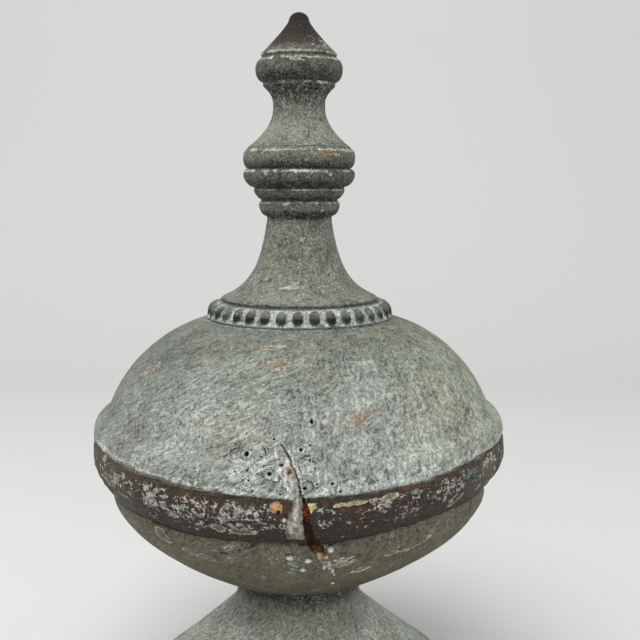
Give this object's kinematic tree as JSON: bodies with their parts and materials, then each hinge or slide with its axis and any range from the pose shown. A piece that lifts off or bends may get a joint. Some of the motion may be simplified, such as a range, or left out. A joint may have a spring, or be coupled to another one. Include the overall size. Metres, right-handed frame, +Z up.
{
  "type": "roof finial",
  "caption": "Turned wooden roof finial: flared foot, flattened ball with a belly band, carved bead course, slender ringed stem and pointed cap, in worn grey paint.",
  "frame": {"origin": "centre of the round flat underside, on the ground", "axes": "+Z up along the turning axis, from the foot to the pointed tip; -Y is the side with the long check in the wood"},
  "size_m": [0.232, 0.2318, 0.399],
  "materials": {
    "painted_wood": "matt grey-green limewashed paint, worn through to brown stain and raw wood"
  },
  "bodies": {
    "root": {"finial": "painted_wood"}
  },
  "joints": []
}
